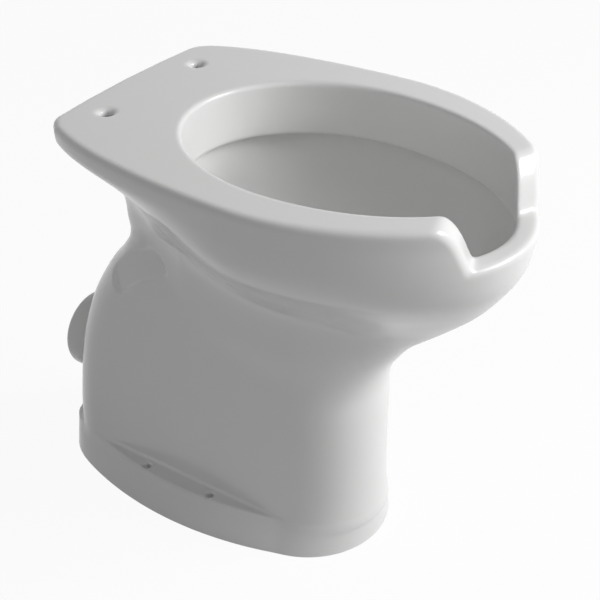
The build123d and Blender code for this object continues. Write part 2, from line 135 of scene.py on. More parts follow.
def sign_and_distance(points, center_y):
    """Signed distance on the XY grid to a half outline, mirrored."""
    px, py = X.astype(np.float64), Y.astype(np.float64)
    best = np.full(px.shape, 1e9)
    for (ax, ay), (bx, by) in zip(points[:-1], points[1:]):
        dx, dy = bx - ax, by - ay
        length = dx * dx + dy * dy
        if length < 1e-9:
            continue
        t = np.clip(((px - ax) * dx + (py - ay) * dy) / length, 0, 1)
        best = np.minimum(best, (px - ax - t * dx) ** 2 + (py - ay - t * dy) ** 2)
    angle = np.arctan2(px, -(py - center_y))
    inside = np.hypot(px, py - center_y) < np.interp(angle, POLAR_ANGLES, polar_radius(points, center_y))
    return (np.sqrt(best) * np.where(inside, -1, 1)).astype(np.float32)


def level_field(heights, tables, center_y):
    """A field whose zero level at each height is the outline interpolated between the tables."""
    heights = np.array(heights, float)
    tables = np.array(tables)
    slopes = np.gradient(tables, heights, axis=0)
    fine = np.arange(heights[0], heights[-1] + 1.0)
    rows = []
    for z in fine:
        i = min(max(int(np.searchsorted(heights, z)) - 1, 0), len(heights) - 2)
        h = heights[i + 1] - heights[i]
        t = min((z - heights[i]) / h, 1.0)
        rows.append(
            (2 * t ** 3 - 3 * t ** 2 + 1) * tables[i]
            + (t ** 3 - 2 * t ** 2 + t) * h * slopes[i]
            + (-2 * t ** 3 + 3 * t ** 2) * tables[i + 1]
            + (t ** 3 - t ** 2) * h * slopes[i + 1]
        )
    weights = np.hanning(2 * HEIGHT_SMOOTHING + 1)
    weights /= weights.sum()
    even = np.pad(rows, ((HEIGHT_SMOOTHING, HEIGHT_SMOOTHING), (0, 0)), mode="edge")
    rows = sum(weight * even[k:k + len(rows)] for k, weight in enumerate(weights))
    turn = np.arctan2(X, -(Y - center_y)) * ((len(POLAR_ANGLES) - 1) / math.pi)
    column = np.minimum(turn.astype(int), len(POLAR_ANGLES) - 2)
    part = (turn - column)[:, :, None]
    low = np.clip(Z_LINE - fine[0], 0, len(fine) - 1.001)
    rows = rows[low.astype(int)] * (1 - low % 1)[:, None] + rows[low.astype(int) + 1] * (low % 1)[:, None]
    rows = rows.T
    edge = (1 - part) * rows[column] + part * rows[column + 1]
    return as_distance((np.hypot(X, Y - center_y)[:, :, None] - edge).astype(np.float32))


def as_distance(field):
    """The field divided by its slope, so that it measures distance near its zero level."""
    gx, gy, gz = np.gradient(field, VOXEL)
    slope = np.sqrt(gx ** 2 + gy ** 2 + gz ** 2)
    return (field / np.maximum(slope, 0.35)).astype(np.float32)


def join(a, b, radius):
    """Union with a round fillet of that radius in the inner corner."""
    u = np.maximum(radius - a, 0)
    v = np.maximum(radius - b, 0)
    return np.maximum(radius, np.minimum(a, b)) - np.sqrt(u * u + v * v)


def common(a, b, radius):
    """Intersection with an outer edge rounded to that radius."""
    u = np.maximum(radius + a, 0)
    v = np.maximum(radius + b, 0)
    return np.minimum(-radius, np.maximum(a, b)) + np.sqrt(u * u + v * v)


def cut(a, b, radius):
    """a without b, its edge rounded."""
    return common(a, -b, radius)


# Outlines
def rim_points(inset=0.0):
    hw, front = HALF_WIDTH - inset, TIP_Y + inset
    handle = 0.44 * (WIDEST_Y - front)
    corner = (DECK_CORNER[0] - inset, DECK_CORNER[1] - inset)
    fore = bezier([(0, front), (0.588 * hw, front), (hw, WIDEST_Y - handle), (hw, WIDEST_Y)], 60)
    side = bezier([(hw, WIDEST_Y), (hw, WIDEST_Y + 40), (corner[0] + 49, corner[1] - 59), corner], 60)
    back = [(corner[0], corner[1]), (60, DECK_BACK_Y - inset - 1.5), (0, DECK_BACK_Y - inset)]
    turn = rounded_corner(side[-12], corner, back[1], 13.0)
    side = side[side[:, 1] < turn[0, 1]]
    return np.vstack([fore, side, turn, np.array(back[1:], float)])


def opening_points(grow=0.0):
    hw, front, back, widest = 132.5 + grow, -270.5 - grow, 94.0 + grow, -71.0
    handle = 0.507 * (widest - front)
    rear = 0.5523 * (back - widest)
    fore = bezier([(0, front), (0.578 * hw, front), (hw, widest - handle), (hw, widest)], 60)
    aft = bezier([(hw, widest), (hw, widest + rear), (0.5523 * hw, back), (0, back)], 60)
    return np.vstack([fore, aft])


def outside_points(hw, front, corner_x, back_y, handle, turn_radius):
    """Egg in front, squared off behind."""
    fore_handle = 0.44 * (WIDEST_Y - front)
    fore = bezier([(0, front), (0.588 * hw, front), (hw, WIDEST_Y - fore_handle), (hw, WIDEST_Y)], 50)
    corner = (corner_x, back_y)
    side = bezier([(hw, WIDEST_Y), (hw, WIDEST_Y + 60), handle, corner], 60)
    turn = rounded_corner(side[-14], corner, (0, back_y), turn_radius)
    side = side[side[:, 1] < turn[0, 1]]
    return np.vstack([fore, side, turn, np.array([[0.0, back_y]])])


def egg_points(hw, front, back, widest):
    fore_handle = 0.5 * (widest - front)
    rear = 0.5523 * (back - widest)
    fore = bezier([(0, front), (0.58 * hw, front), (hw, widest - fore_handle), (hw, widest)], 40)
    aft = bezier([(hw, widest), (hw, widest + rear), (0.5523 * hw, back), (0, back)], 40)
    return np.vstack([fore, aft])


def column_points(hw, nose_y, tip_y, back_y, corner):
    handle = 0.5523 * (nose_y - tip_y)
    fore = bezier([(0, tip_y), (0.5523 * hw, tip_y), (hw, nose_y - handle), (hw, nose_y)], 40)
    turn = rounded_corner((hw, nose_y), (hw, back_y), (0, back_y), corner)
    return np.vstack([fore, turn, np.array([[0.0, back_y]])])


# Top of the rim: level, and lower in front through a smooth shoulder
NOTCH_DEPTH = 52.0
NOTCH_START = ((75.0, -235.0), (109.0, -246.0))
NOTCH_END = ((46.0, -258.0), (76.0, -272.0))
NOTCH_CURVE = 2.0
NOTCH_SMOOTHING = 3


def beyond_line(line):
    """Distance past a line, towards the notch, on the XY grid."""
    (ax, ay), (bx, by) = line
    dx, dy = bx - ax, by - ay
    length = math.hypot(dx, dy)
    return ((X - ax) * dy - (Y - ay) * dx) / length


def notch_drop():
    past_start = beyond_line(NOTCH_START)
    past_end = beyond_line(NOTCH_END)
    t = np.clip(past_start / np.maximum(past_start - past_end, 1e-3), 0, 1)
    t = np.where(past_start <= 0, 0, np.where(past_end >= 0, 1, t))
    drop = NOTCH_DEPTH * t ** NOTCH_CURVE
    for _ in range(NOTCH_SMOOTHING):
        wide = np.pad(drop, 1, mode="edge")
        drop = (wide[:-2, 1:-1] + wide[2:, 1:-1] + wide[1:-1, :-2] + wide[1:-1, 2:] + 2 * drop) / 6
    return drop


# The pan's outside, level by level: height, half-width, front, back corner, handle, corner radius
OUTSIDE_ROWS = (
    (190, 20, -70, 20, 20, (20, -10), 8),
    (220, 34, -98, 34, 40, (34, 0), 12),
    (247, 48, -126, 40, 80, (46, 20), 16),
    (275, 64, -160, 46, 110, (52, 50), 20),
    (303, 70, -194, 50, 140, (54, 70), 22),
    (330, 82, -226, 54, 172, (64, 84), 24),
    (356, 105, -253, 56, 178, (72, 88), 24),
    (382, 134.5, -273, 57, 178, (80, 92), 24),
    (408, 159, -288, 62, 179, (94, 102), 22),
    (434, 173, -293, 80, 185, (112, 112), 18),
    (460, 177.5, -295, 105, 193, (146, 124), 14),
)

# Above them the rim's own outline, drawn in: height and inset
RIM_ROWS = ((480, 1.4), (488, 0.5), (512, 0.35))

# The basin's inside: height, half-width, front, back
BASIN_ROWS = (
    (108, 26, -34, -10),
    (141, 41, -50, -2),
    (170, 45, -72, -2),
    (199, 48, -98, 0),
    (228, 49, -108, 8),
    (257, 49, -122, 20),
    (286, 50, -156, 34),
    (314, 54, -187, 60),
    (343, 73, -222, 90),
    (372, 107, -250, 103),
    (401, 139, -269, 107),
    (430, 157, -275, 109),
    (459, 160, -276, 109),
)

# The pedestal with the fairing under the bowl: height, half-width, nose tip, back, corner radius
COLUMN_ROWS = (
    (-20, 86.5, -144.5, 274, 50),
    (20, 84.5, -142.5, 274, 50),
    (60, 81, -138.5, 275, 48),
    (100, 80, -137.5, 271, 47),
    (145, 80, -137.5, 264, 47),
    (187, 80, -137.5, 255, 48),
    (215, 80, -138, 246, 50),
    (243, 80, -146, 236, 54),
    (268, 80, -160, 223.5, 58),
    (296, 79.5, -172, 204.5, 56),
    (315, 77, -180, 188.5, 52),
    (334, 72, -186, 175, 46),
    (352, 64, -188, 158, 40),
    (370, 50, -180, 130, 34),
)
NOSE_Y = -57.5


def outside_tables():
    """The outside's outlines by height: as drawn, and never thinner than the basin's wall."""
    heights = [row[0] for row in OUTSIDE_ROWS + RIM_ROWS]
    tables = [polar_radius(outside_points(*row[1:]), WIDEST_Y) for row in OUTSIDE_ROWS]
    tables += [polar_radius(rim_points(inset), WIDEST_Y) for _, inset in RIM_ROWS]
    basin_heights = [row[0] for row in BASIN_ROWS]
    sizes = np.array([row[1:] for row in BASIN_ROWS], float)
    for i, height in enumerate(heights):
        if BASIN_WALL_FROM <= height <= RIM_SEAM:
            hw, front, back = (np.interp(height, basin_heights, sizes[:, k]) for k in range(3))
            widest = max(WIDEST_Y, (front + back) / 2)
            wall = polar_radius(egg_points(hw + WALL, front - WALL, back + WALL, widest), WIDEST_Y)
            tables[i] = rounded(np.maximum(tables[i], wall), ANGLE_SMOOTHING)
    return heights, tables


def outside_field():
    heights, tables = outside_tables()
    return level_field(heights, tables, WIDEST_Y)


def basin_field():
    tables = []
    for _, hw, front, back in BASIN_ROWS:
        widest = max(WIDEST_Y, (front + back) / 2)
        tables.append(polar_radius(egg_points(hw, front, back, widest), BASIN_CENTER_Y))
    return level_field([row[0] for row in BASIN_ROWS], tables, BASIN_CENTER_Y)


BASIN_CENTER_Y = -24.0


def column_field():
    tables = [
        polar_radius(column_points(hw, NOSE_Y, tip, back, corner), COLUMN_CENTER_Y)
        for _, hw, tip, back, corner in COLUMN_ROWS
    ]
    column = level_field([row[0] for row in COLUMN_ROWS], tables, COLUMN_CENTER_Y)
    column = common(column, (Z - COLUMN_ROWS[-1][0] + 0 * column).astype(np.float32), 10.0)
    return np.maximum(column, COLUMN_FROM - Z)


COLUMN_CENTER_Y = 20.0
COLUMN_FROM = 30.0


def rod_along_y(radius, y0, y1, height, edge):
    """A round bar along Y with rounded end edges."""
    around = np.hypot(X[:, :, None], Z - height) - radius
    ends = np.maximum(y0 - Y, Y - y1)[:, :, None] + 0 * Z
    return common(around.astype(np.float32), ends.astype(np.float32), edge)


def rod_along_z(radius, x, y, z0, z1, edge):
    around = (np.hypot(X - x, Y - y) - radius)[:, :, None] + 0 * Z
    ends = np.maximum(z0 - Z, Z - z1) + 0 * around
    return common(around.astype(np.float32), ends.astype(np.float32), edge)


RIM_SEAM = 437.0
BOWL_SEAM = 330.0
SUMP_SEAM = 236.0
FOOT_SEAM = 44.5
HOUSING_SEAM_Y = 100.0
FLOOR_LEVEL = 0.4
AXIS_Y, AXIS_Z = 1, 2

ROLL_TOP_RADIUS = 7.0
BASIN_WALL_FROM = 325.0
ANGLE_SMOOTHING = 12

PLATE_UNDERSIDE = 487.0
SKIRT_BOTTOM = 436.5
CHAMBER_FLOOR = 327.0
PEDESTAL_ROOF = 319.0
CHAMBER_FRONT_Y = 20.0
SOLID_FRONT_Y = -214.0

INLET_HEIGHT = 392.0
OUTLET_HEIGHT = 133.0
SUMP_WAY_HEIGHT = 150.5
SUMP_FLOOR = 113.0
SHELL_INSET = 3.0
PASSAGE_RADIUS = 36.0

POCKET = (141.0, 311.0)
POCKET_TILT = math.radians(33)
POCKET_HALF_LENGTH = 29.0
POCKET_RADIUS = 17.0
POCKET_FLOOR_X = 71.5
POCKET_LEAN = 0.30

SEAT_HOLE = (77.5, 163.0)
WASH_HOLES = [tuple(spot) for spot in dense(opening_points(15), 24.0) if -196 < spot[1] < 90]
FLOOR_HOLES = ((95.0, 36.0), (95.0, 133.0))


def arc_points(start, middle, end, count=24):
    """Points on the circle through three points."""
    (ax, ay), (bx, by), (cx, cy) = start, middle, end
    d = 2 * (ax * (by - cy) + bx * (cy - ay) + cx * (ay - by))
    a2, b2, c2 = ax * ax + ay * ay, bx * bx + by * by, cx * cx + cy * cy
    ux = (a2 * (by - cy) + b2 * (cy - ay) + c2 * (ay - by)) / d
    uy = (a2 * (cx - bx) + b2 * (ax - cx) + c2 * (bx - ax)) / d
    radius = math.hypot(ax - ux, ay - uy)
    angles = np.unwrap([math.atan2(p[1] - uy, p[0] - ux) for p in (start, middle, end)])
    turn = np.interp(np.linspace(0, 2, count), [0, 1, 2], angles)
    return np.column_stack([ux + radius * np.cos(turn), uy + radius * np.sin(turn)])


def foot_points(share):
    """The foot's outline: share 0 is its ledge and 1 its edge on the floor."""
    nose = (83 + 14 * share, -60 - 2 * share, -140 - 0.5 * share)
    bulge = (106 + 16 * share, 83)
    corner = np.array((83 + 13 * share, 225 + 6 * share))
    back = np.array((43.0, 284.0))
    fore = arc_points((-nose[0], nose[1]), (0, nose[2]), (nose[0], nose[1]), 49)[24:]
    side = arc_points((nose[0], nose[1]), bulge, corner, 40)
    turn = bezier([corner, corner + (-9, 25), back + (26, 0), back])
    return np.vstack([fore, side, turn, np.array([[0.0, back[1]]])])


def foot_field():
    rows = ((-10.0, 1.15), (0.0, 1.0), (10.0, 0.78), (26.0, 0.38), (41.0, 0.0), (52.0, -0.2))
    tables = [rounded(polar_radius(foot_points(share), FOOT_CENTER_Y), 10) for _, share in rows]
    return level_field([row[0] for row in rows], tables, FOOT_CENTER_Y)


FOOT_CENTER_Y = 60.0
FOOT_TOP = 41.0


def pocket_field():
    """The shallow kidney-shaped recess in each side of the pedestal, deepest along its top."""
    y, z = Y[:, :, None] - POCKET[0], Z - POCKET[1]
    along = y * math.cos(POCKET_TILT) - z * math.sin(POCKET_TILT)
    across = y * math.sin(POCKET_TILT) + z * math.cos(POCKET_TILT) + 0.005 * along ** 2 - 3
    reach = np.maximum(np.abs(along) - POCKET_HALF_LENGTH, 0)
    ring = np.hypot(reach, across) - POCKET_RADIUS
    floor = POCKET_FLOOR_X - POCKET_LEAN * across - X[:, :, None]
    return common(ring.astype(np.float32), floor.astype(np.float32), 3.0)


def outer_field(top, lean):
    """The outside of the pan, filled in."""
    over_top = ((Z - top) / lean).astype(np.float32)
    body = outside_field()
    fillet = 36.0 - 27.0 * np.clip((Y - 70) / 60, 0, 1) - 24.0 * np.clip((-80 - Y) / 60, 0, 1)
    pan = join(body, column_field(), fillet[:, :, None])
    pan = common(pan, over_top, ROLL_TOP_RADIUS)
    foot = common(foot_field(), (Z - FOOT_TOP + 0 * pan).astype(np.float32), 2.0)
    pan = join(pan, foot, 2.0)
    spigot_root = rod_along_y(49.5, 240, 285, OUTLET_HEIGHT, 4.0)
    pan = join(pan, spigot_root, 4.0)
    inlet_root = rod_along_y(35.5, 150, 184, INLET_HEIGHT, 3.0)
    return join(pan, inlet_root, 6.0)


def china_fields():
    """The casting without the basin's lower part, and that part as a shell."""
    top = (TOP - notch_drop())[:, :, None].astype(np.float32)
    gx, gy = np.gradient(top[:, :, 0], VOXEL)
    lean = np.sqrt(1 + gx ** 2 + gy ** 2)[:, :, None]
    basin_sides = basin_field()
    level = (Z + 0 * basin_sides).astype(np.float32)
    outer = cut(outer_field(top, lean), pocket_field(), 2.0)

    # seat opening over the basin
    basin = common(basin_sides, SUMP_FLOOR - level, 14.0)
    basin_outside = common(basin_sides - WALL, SUMP_FLOOR - WALL - level, 22.0)
    opening = sign_and_distance(opening_points(-0.8), WIDEST_Y)[:, :, None] + 0 * Z
    shaft = np.maximum(opening, 430 - level)
    bowl = np.maximum(basin, level - SKIRT_BOTTOM)
    cavity = join(shaft, bowl, 4.0)
    cavity = np.where(level > 425, cavity, basin)

    # flush channel, rear chamber and the hollow of the pedestal
    inner_rim = sign_and_distance(rim_points(16), WIDEST_Y)[:, :, None] + 0 * Z
    skirt = sign_and_distance(opening_points(9), WIDEST_Y)[:, :, None] + 0 * Z
    depth_y = (Y[:, :, None] + 0 * Z).astype(np.float32)
    channel = np.maximum.reduce([
        inner_rim, -skirt, level - PLATE_UNDERSIDE, 428 - level, SOLID_FRONT_Y - depth_y,
        outer + WALL, WALL - basin - 1000 * (level > 430),
    ])
    chamber = np.maximum.reduce([
        outer + WALL, level - PLATE_UNDERSIDE, CHAMBER_FLOOR - level, CHAMBER_FRONT_Y - depth_y,
        WALL - basin, -skirt - 1000 * (level < 430),
    ])
    hollow = np.maximum.reduce([outer + WALL, level - PEDESTAL_ROOF])
    hollow = np.minimum(hollow, np.maximum(basin - 3, level - CHAMBER_FLOOR))
    voids = np.minimum.reduce([channel, chamber, hollow])
    edge = 5.0
    china = cut(outer, cavity, edge)
    china = cut(china, voids, 1.0)

    # holes
    seat_hole = rod_along_z(7.0, *SEAT_HOLE, 440, 520, 1.0)
    sink = np.hypot(X - SEAT_HOLE[0], Y - SEAT_HOLE[1])[:, :, None] - 7.0 - (level - 496.5)
    seat_hole = np.minimum(seat_hole, np.maximum(sink * 0.707, 490 - level))
    china = cut(china, seat_hole, 2.0)
    for x, y in FLOOR_HOLES:
        china = cut(china, rod_along_z(5.0, x, y, 14, 60, 1.0), 0.8)
    china = cut(china, rod_along_y(45.0, 230, 300, OUTLET_HEIGHT, 1.0), 1.0)
    china = cut(china, rod_along_y(32.0, 140, 200, INLET_HEIGHT, 1.0), 1.0)

    shell = common(basin_outside, -basin, 1.0)
    shell = np.maximum(shell, outer + SHELL_INSET)
    shell = cut(shell, rod_along_y(PASSAGE_RADIUS, -12, 40, SUMP_WAY_HEIGHT, 1.0), 1.0)

    # the plate under the flush channel, with its wash holes
    edges = sign_and_distance(opening_points(2), WIDEST_Y)[:, :, None] + 0 * Z
    plate = np.maximum.reduce([
        inner_rim, -edges, level - 443, 437 - level, SOLID_FRONT_Y - depth_y, depth_y - 99, outer + 3,
    ])
    for x, y in WASH_HOLES:
        plate = np.maximum(plate, 3.5 - np.hypot(X - x, Y - y)[:, :, None])
    return china.astype(np.float32), shell.astype(np.float32), plate.astype(np.float32)


# Edges tested at once when a cut is filled
EDGE_BATCH = 1000


class Surface:
    """A field on the half grid, with its slope, read at any point of either half."""

    def __init__(self, field):
        self.field = field
        self.slope = np.gradient(field, VOXEL)
        self.slope[0][0] = 0

    def read(self, grid, points):
        spot = np.column_stack([np.abs(points[:, 0]), points[:, 1] - Y_LINE[0], points[:, 2] - Z_LINE[0]])
        spot = spot / VOXEL
        cell = np.clip(spot.astype(int), 0, np.array(grid.shape) - 2)
        part = np.clip(spot - cell, 0, 1)
        value = np.zeros(len(points))
        for corner in range(8):
            step = np.array([corner & 1, corner >> 1 & 1, corner >> 2 & 1])
            weight = np.where(step, part, 1 - part).prod(axis=1)
            at = cell + step
            value += weight * grid[at[:, 0], at[:, 1], at[:, 2]]
        return value

    def normals(self, points):
        slope = np.column_stack([self.read(grid, points) for grid in self.slope])
        slope[:, 0] *= np.where(points[:, 0] < 0, -1, 1)
        return slope

    def settle(self, points):
        """Move points onto the zero level."""
        for _ in range(3):
            slope = self.normals(points)
            size = np.maximum((slope ** 2).sum(axis=1), 0.2)
            step = self.read(self.field, points) / size
            points = points - np.clip(step, -1.0, 1.0)[:, None] * slope
        return points

    def mesh(self):
        """The whole surface as points and quads."""
        full = np.concatenate([self.field[:0:-1], self.field])
        grid = vdb.FloatGrid(background=20.0)
        grid.copyFromArray(np.ascontiguousarray(full))
        points, quads = grid.convertToQuads(0.0)
        low = np.array([-X_LINE[-1], Y_LINE[0], Z_LINE[0]])
        return self.settle(points.astype(float) * VOXEL + low), quads


def enclosed(middles, ends):
    """Whether each point lies inside the loops made by the edges, holes left out."""
    (ax, ay), (bx, by) = ends[:, 0].T, ends[:, 1].T
    crossings = np.zeros(len(middles), int)
    for start in range(0, len(ends), EDGE_BATCH):
        part = slice(start, start + EDGE_BATCH)
        px, py = middles[:, :1], middles[:, 1:]
        spans = (ay[part] > py) != (by[part] > py)
        rise = np.where(by[part] == ay[part], 1.0, by[part] - ay[part])
        hit = ax[part] + (py - ay[part]) / rise * (bx[part] - ax[part])
        crossings += (spans & (px < hit)).sum(axis=1)
    return crossings % 2 == 1


def cap(work, edges, axis, side, layer):
    """Fill the cut with the triangles that its edges enclose."""
    verts = list({v for e in edges for v in e.verts})
    number = {v: k for k, v in enumerate(verts)}
    flat_axes = [k for k in range(3) if k != axis]
    flat = [Vector((v.co[flat_axes[0]], v.co[flat_axes[1]])) for v in verts]
    links = [(number[e.verts[0]], number[e.verts[1]]) for e in edges]
    done = geometry.delaunay_2d_cdt(flat, links, [], 0, 1e-6)
    sources, triangles = done[3], done[2]
    fills = []
    for triangle in triangles:
        if all(len(sources[k]) for k in triangle):
            corners = [verts[sources[k][0]] for k in triangle]
            if len(set(corners)) == 3:
                fills.append(corners)
    spots = np.array(flat)
    middles = np.array([np.mean([spots[number[c]] for c in corners], axis=0) for corners in fills])
    for corners, keep in zip(fills, enclosed(middles, spots[np.array(links)])):
        if not keep:
            continue
        turn = (corners[1].co - corners[0].co).cross(corners[2].co - corners[0].co)
        if turn[axis] * side < 0:
            corners.reverse()
        if work.faces.get(corners) is None:
            work.faces.new(corners)[layer] = 1


def trimmed(points, quads, planes):
    """A closed bmesh of the surface on the inner side of each plane: axis, place, side to drop."""
    mesh = bpy.data.meshes.new("trim")
    mesh.from_pydata(points.tolist(), [], quads.tolist())
    work = bmesh.new()
    work.from_mesh(mesh)
    bpy.data.meshes.remove(mesh)
    caps = work.faces.layers.int.new("cap")
    for axis, place, side in planes:
        origin, normal = [0.0, 0.0, 0.0], [0.0, 0.0, 0.0]
        origin[axis], normal[axis] = place, side
        parts = work.verts[:] + work.edges[:] + work.faces[:]
        done = bmesh.ops.bisect_plane(
            work, geom=parts, dist=1e-4, plane_co=origin, plane_no=normal, clear_outer=True
        )
        edges = [e for e in done["geom_cut"] if isinstance(e, bmesh.types.BMEdge) and e.is_boundary]
        cap(work, edges, axis, side, caps)
    return work


def china_piece(name, sources):
    """One mesh object from trimmed surfaces, with each field's slope for its normals."""
    verts, faces, cap_flags, slopes = [], [], [], []
    for surface, work in sources:
        caps = work.faces.layers.int["cap"]
        base = len(verts)
        work.verts.index_update()
        verts += [tuple(v.co) for v in work.verts]
        slopes.append(surface.normals(np.array(verts[base:])))
        for face in work.faces:
            faces.append([base + v.index for v in face.verts])
            cap_flags.append(face[caps])
        work.free()
    mesh = bpy.data.meshes.new(name)
    mesh.from_pydata([tuple(c / 1000 for c in v) for v in verts], [], faces)
    mesh.polygons.foreach_set("use_smooth", [True] * len(faces))
    slopes = np.vstack(slopes)
    slopes /= np.maximum(np.linalg.norm(slopes, axis=1), 1e-6)[:, None]
    corner_verts = np.empty(len(mesh.loops), np.int32)
    mesh.loops.foreach_get("vertex_index", corner_verts)
    sizes = np.array([len(f) for f in faces])
    flags = np.repeat(np.array(cap_flags), sizes)
    flat = np.empty(len(faces) * 3, np.float32)
    mesh.polygons.foreach_get("normal", flat)
    flat = np.repeat(flat.reshape(-1, 3), sizes, axis=0)
    normals = np.where(flags[:, None] > 0, flat, slopes[corner_verts])
    mesh.normals_split_custom_set(normals.tolist())
    mesh.update()
    piece = bpy.data.objects.new(name, mesh)
    bpy.context.scene.collection.objects.link(piece)
    print(name, len(verts), "points", len(faces), "faces")
    return piece


casting, shell, plate = (Surface(field) for field in china_fields())
casting_mesh, shell_mesh, plate_mesh = casting.mesh(), shell.mesh(), plate.mesh()



def lathe(name, profile, center, segments=96):
    """A ring turned about a line along Y: the profile is a closed list of radius and y."""
    verts, faces = [], []
    count = len(profile)
    for step in range(segments):
        angle = 2 * math.pi * step / segments
        for radius, y in profile:
            verts.append((
                (center[0] + radius * math.cos(angle)) / 1000,
                y / 1000,
                (center[1] + radius * math.sin(angle)) / 1000,
            ))
        for k in range(count):
            here, after = step * count, (step + 1) % segments * count
            faces.append((here + k, here + (k + 1) % count, after + (k + 1) % count, after + k))
    mesh = bpy.data.meshes.new(name)
    mesh.from_pydata(verts, [], faces)
    mesh.polygons.foreach_set("use_smooth", [True] * len(faces))
    work = bmesh.new()
    work.from_mesh(mesh)
    bmesh.ops.recalc_face_normals(work, faces=work.faces)
    work.to_mesh(mesh)
    work.free()
    piece = bpy.data.objects.new(name, mesh)
    bpy.context.scene.collection.objects.link(piece)
    return piece


def ring_profile(root_y, end_y, outer, bore_root, bore_end, outer_edge, inner_edge):
    """Half section of a tube with a rounded mouth."""
    points = [(bore_root, root_y), (outer, root_y)]
    for step in range(9):
        angle = math.pi / 2 * step / 8
        points.append((
            outer - outer_edge * (1 - math.cos(angle)),
            end_y - outer_edge * (1 - math.sin(angle)),
        ))
    for step in range(1, 9):
        angle = math.pi / 2 * step / 8
        points.append((
            bore_end + inner_edge * (1 - math.sin(angle)),
            end_y - inner_edge * (1 - math.cos(angle)),
        ))
    return points


def casting_part(*planes):
    return casting, trimmed(*casting_mesh, planes)


def shell_part(*planes):
    return shell, trimmed(*shell_mesh, planes)


UNDER_RIM, OVER_COLUMN = (AXIS_Z, RIM_SEAM, 1), (AXIS_Z, BOWL_SEAM, -1)
rim = china_piece("rim", [casting_part((AXIS_Z, RIM_SEAM, -1))])
bowl = china_piece("bowl", [
    casting_part(UNDER_RIM, OVER_COLUMN, (AXIS_Y, HOUSING_SEAM_Y, 1)),
    shell_part((AXIS_Z, BOWL_SEAM, 1), (AXIS_Z, SUMP_SEAM, -1)),
])
housing = china_piece("rear_neck", [casting_part(UNDER_RIM, OVER_COLUMN, (AXIS_Y, HOUSING_SEAM_Y, -1))])
column = china_piece("column", [casting_part((AXIS_Z, BOWL_SEAM, 1), (AXIS_Z, FOOT_SEAM, -1))])
foot = china_piece("foot", [casting_part((AXIS_Z, FOOT_SEAM, 1), (AXIS_Z, FLOOR_LEVEL, -1))])
well = china_piece("well", [shell_part((AXIS_Z, SUMP_SEAM, 1))])
channel_plate = china_piece("channel_plate", [(plate, trimmed(*plate_mesh, []))])
spigot = lathe("spigot", ring_profile(255, 295.9, 49.9, 36.0, 41.0, 5.5, 3.0), (0, OUTLET_HEIGHT))
socket = lathe("socket", ring_profile(158.5, 185.9, 35.9, 27.5, 27.5, 3.5, 2.0), (0, INLET_HEIGHT))

REPLACED = (
    (rim, "rim_ring", "glazed_china"),
    (bowl, "bowl_basin", "glazed_china"),
    (housing, "rear_housing", "glazed_china"),
    (column, "pedestal", "glazed_china"),
    (foot, "foot_ring", "glazed_china"),
    # the well and the channel's plate take the darker copy of the china, which is painted shade
    (well, "sump_well", "glazed_china_inner"),
    (channel_plate, "rim_channel_floor", "glazed_china_inner"),
    (spigot, "outlet_spigot", "glazed_china"),
    (socket, "flush_inlet_socket", "glazed_china"),
)


def china_material(name, color, speckle):
    """Vitreous china: a pale body under a clear, almost smooth glaze."""
    material = bpy.data.materials.new(name)
    material.use_nodes = True
    tree = material.node_tree
    nodes, links = tree.nodes, tree.links
    shader = nodes["Principled BSDF"]
    place = nodes.new("ShaderNodeTexCoord")

    # slow drift of tone, as the glaze pools a little thicker in places
    drift = nodes.new("ShaderNodeTexNoise")
    drift.inputs["Scale"].default_value = 7.0
    drift.inputs["Detail"].default_value = 3.0
    tone = nodes.new("ShaderNodeMapRange")
    tone.inputs["To Min"].default_value = 0.985
    tone.inputs["To Max"].default_value = 1.012
    links.new(place.outputs["Object"], drift.inputs["Vector"])
    links.new(drift.outputs["Fac"], tone.inputs["Value"])

    # sparse, very faint specks
    specks = nodes.new("ShaderNodeTexNoise")
    specks.inputs["Scale"].default_value = 420.0
    specks.inputs["Detail"].default_value = 1.0
    dots = nodes.new("ShaderNodeMapRange")
    dots.inputs["From Min"].default_value = 0.74
    dots.inputs["From Max"].default_value = 0.80
    dots.inputs["To Min"].default_value = 1.0
    dots.inputs["To Max"].default_value = speckle
    links.new(place.outputs["Object"], specks.inputs["Vector"])
    links.new(specks.outputs["Fac"], dots.inputs["Value"])

    both = nodes.new("ShaderNodeMath")
    both.operation = "MULTIPLY"
    links.new(tone.outputs["Result"], both.inputs[0])
    links.new(dots.outputs["Result"], both.inputs[1])
    tint = nodes.new("ShaderNodeVectorMath")
    tint.operation = "SCALE"
    tint.inputs[0].default_value = color
    links.new(both.outputs["Value"], tint.inputs["Scale"])
    links.new(tint.outputs["Vector"], shader.inputs["Base Color"])

    # roughness varies slightly, and the glaze has a long, shallow ripple
    rough = nodes.new("ShaderNodeMapRange")
    rough.inputs["To Min"].default_value = 0.30
    rough.inputs["To Max"].default_value = 0.38
    links.new(drift.outputs["Fac"], rough.inputs["Value"])
    links.new(rough.outputs["Result"], shader.inputs["Roughness"])
    ripple = nodes.new("ShaderNodeTexNoise")
    ripple.inputs["Scale"].default_value = 26.0
    ripple.inputs["Detail"].default_value = 1.5
    links.new(place.outputs["Object"], ripple.inputs["Vector"])
    bump = nodes.new("ShaderNodeBump")
    bump.inputs["Strength"].default_value = 0.10
    bump.inputs["Distance"].default_value = 0.0006
    links.new(ripple.outputs["Fac"], bump.inputs["Height"])
    links.new(bump.outputs["Normal"], shader.inputs["Coat Normal"])
    shader.inputs["Coat Weight"].default_value = 0.4
    shader.inputs["Coat Roughness"].default_value = 0.06
    shader.inputs["Coat IOR"].default_value = 1.5
    shader.inputs["Specular IOR Level"].default_value = 0.35
    return material
